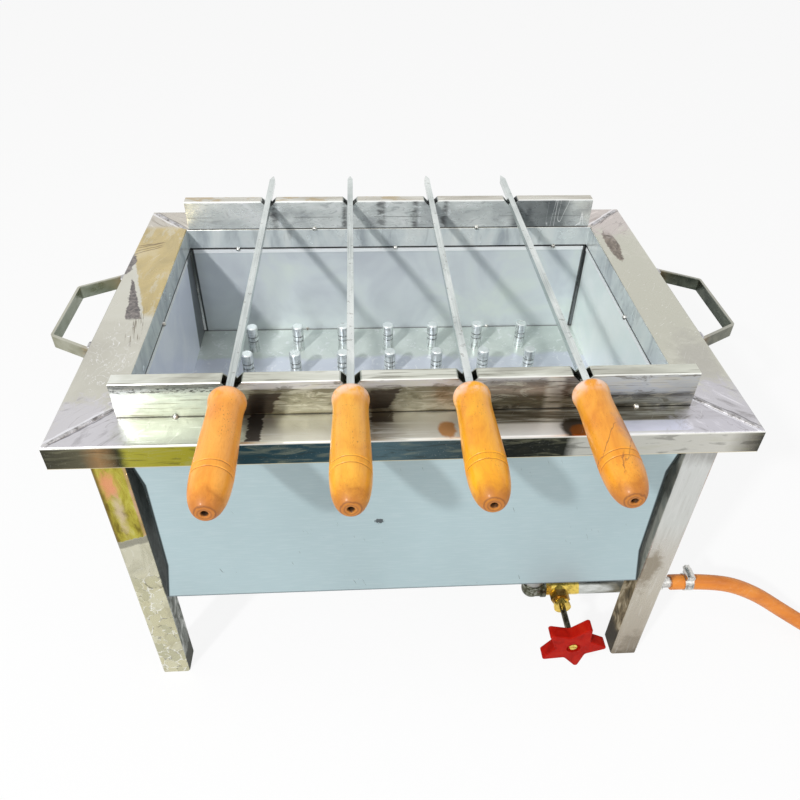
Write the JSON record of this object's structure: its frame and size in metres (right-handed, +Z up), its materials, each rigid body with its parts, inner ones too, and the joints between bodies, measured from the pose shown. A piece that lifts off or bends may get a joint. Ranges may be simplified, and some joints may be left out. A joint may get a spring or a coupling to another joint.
{
  "type": "gas skewer grill",
  "caption": "Table-top gas grill: a folded steel frame with notched rails carries turning skewers over a pit of gas nozzles, fed through a star-knob tap and hose.",
  "frame": {"origin": "on the ground, under the centre of the grill's box, cord left out", "axes": "+X to the right along the notched rails, +Y from the skewer grips to their points, +Z up"},
  "size_m": [1.0357, 0.532, 0.3655],
  "materials": {
    "frame_steel": "polished stainless sheet with heat tint at the welds",
    "rail_steel": "polished stainless sheet",
    "leg_steel": "satin stainless tube",
    "panel_steel": "pale matt stainless sheet",
    "pit_steel": "satin stainless sheet with scratches",
    "handle_steel": "dark stainless flat bar",
    "nozzle_steel": "turned steel",
    "tube_steel": "plain steel tube",
    "brass": "turned brass",
    "dark_brass": "darkened brass",
    "stem_metal": "dark olive plated stem",
    "cast_elbow": "dark mottled casting",
    "pipe_steel": "bright plated pipe",
    "red_knob": "glossy red moulded plastic",
    "zinc": "zinc plated",
    "orange_rubber": "orange rubber hose",
    "packing_rubber": "black packing",
    "rod_steel": "bright square bar",
    "turned_wood": "oiled orange wood with burnt grooves",
    "weld_metal": "weld metal"
  },
  "bodies": {
    "root": {"top_frame_front": "frame_steel", "top_frame_back": "frame_steel", "top_frame_left": "frame_steel", "top_frame_right": "frame_steel", "front_rail": "rail_steel", "rear_rail": "rail_steel", "leg_front_left": "leg_steel", "leg_front_right": "leg_steel", "leg_rear_left": "leg_steel", "leg_rear_right": "leg_steel", "body_panel_front": "panel_steel", "body_panel_back": "panel_steel", "body_panel_left": "panel_steel", "body_panel_right": "panel_steel", "pit_wall_front": "pit_steel", "pit_wall_back": "pit_steel", "pit_wall_left": "pit_steel", "pit_wall_right": "pit_steel", "pit_floor": "pit_steel", "burner_nozzles_1": "nozzle_steel", "burner_nozzles_2": "nozzle_steel", "burner_nozzles_3": "nozzle_steel", "burner_nozzles_4": "nozzle_steel", "burner_nozzles_5": "nozzle_steel", "burner_tubes": "tube_steel", "burner_tube_caps": "tube_steel", "burner_header": "tube_steel", "header_caps": "tube_steel", "mixing_tube": "tube_steel", "gas_jet": "brass", "outlet_elbow": "cast_elbow", "valve_body": "brass", "valve_bonnet": "dark_brass", "valve_packing": "packing_rubber", "valve_gland_nut": "dark_brass", "gas_inlet_pipe": "pipe_steel", "hose_barb": "pipe_steel", "hose_clamp_band": "zinc", "hose_clamp_housing": "zinc", "hose_clamp_screw": "zinc", "gas_hose": "orange_rubber", "gas_hose_coil": "orange_rubber", "hose_ferrule": "zinc", "hose_tail": "brass", "handle_left": "handle_steel", "handle_right": "handle_steel", "tack_welds": "weld_metal"},
    "needle": {"valve_needle": "brass"},
    "spindle": {"valve_spindle": "stem_metal", "star_knob": "red_knob", "knob_screw": "brass"},
    "union_nut": {"hose_union_nut": "brass"},
    "skewer_1": {"skewer_rod_1": "rod_steel", "skewer_handle_1": "turned_wood"},
    "skewer_2": {"skewer_rod_2": "rod_steel", "skewer_handle_2": "turned_wood"},
    "skewer_3": {"skewer_rod_3": "rod_steel", "skewer_handle_3": "turned_wood"},
    "skewer_4": {"skewer_rod_4": "rod_steel", "skewer_handle_4": "turned_wood"}
  },
  "joints": [
    {"name": "needle_travel", "type": "slide", "parent": "root", "child": "needle", "axis": [0, -1, 0], "range_m": [0, 0.00196]},
    {"name": "knob_turn", "type": "hinge", "parent": "needle", "child": "spindle", "pos_m": [0.159, -0.134, 0.0765], "axis": [0, -1, 0], "range_deg": [0, 540]},
    {"name": "skewer_1_turn", "type": "hinge", "parent": "root", "child": "skewer_1", "pos_m": [-0.1379, 0, 0.35059], "axis": [0, 1, 0], "continuous": true},
    {"name": "skewer_2_turn", "type": "hinge", "parent": "root", "child": "skewer_2", "pos_m": [-0.0465, 0, 0.35059], "axis": [0, 1, 0], "continuous": true},
    {"name": "skewer_3_turn", "type": "hinge", "parent": "root", "child": "skewer_3", "pos_m": [0.0449, 0, 0.35059], "axis": [0, 1, 0], "continuous": true},
    {"name": "skewer_4_turn", "type": "hinge", "parent": "root", "child": "skewer_4", "pos_m": [0.1363, 0, 0.35059], "axis": [0, 1, 0], "continuous": true},
    {"name": "union_nut_turn", "type": "hinge", "parent": "root", "child": "union_nut", "pos_m": [0.68079, -0.13644, 0.0275], "axis": [0.507, 0.862, 0], "continuous": true}
  ],
  "couplings": [
    {"joint": "needle_travel", "follows": "knob_turn", "m_per_rad": 0.0002069}
  ]
}
